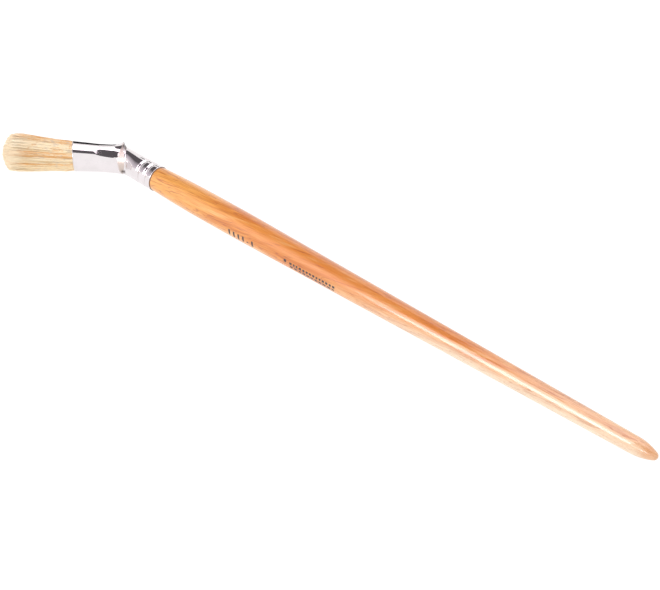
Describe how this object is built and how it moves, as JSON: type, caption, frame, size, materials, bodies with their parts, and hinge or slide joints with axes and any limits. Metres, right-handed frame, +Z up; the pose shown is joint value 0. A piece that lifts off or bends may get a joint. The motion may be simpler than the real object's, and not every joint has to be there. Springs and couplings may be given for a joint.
{
  "type": "paint brush",
  "caption": "Long-handled round artist's paint brush with a turned wooden handle, a plated ferrule bent to an elbow and a blunt domed knot of pale bristles.",
  "frame": {"origin": "on the surface the brush lies on, under the middle of its box", "axes": "+X along the handle towards its tip, +Z up from the surface, the bristles bent over towards -Y"},
  "size_m": [0.303, 0.042, 0.0153],
  "materials": {
    "varnished_wood": "gloss",
    "nickel_plate": "polished",
    "resin": "gloss",
    "thread": "matte",
    "bristle": "satin"
  },
  "bodies": {
    "root": {"bristle_core": "bristle", "bristle_lock_1": "bristle", "bristle_lock_2": "bristle", "bristle_lock_3": "bristle", "bristle_lock_4": "bristle", "bristle_lock_5": "bristle", "bristle_lock_6": "bristle", "bristle_lock_7": "bristle", "bristle_lock_8": "bristle", "ferrule": "nickel_plate", "handle": "varnished_wood", "root_binding": "thread", "setting_cement": "resin"}
  },
  "joints": []
}
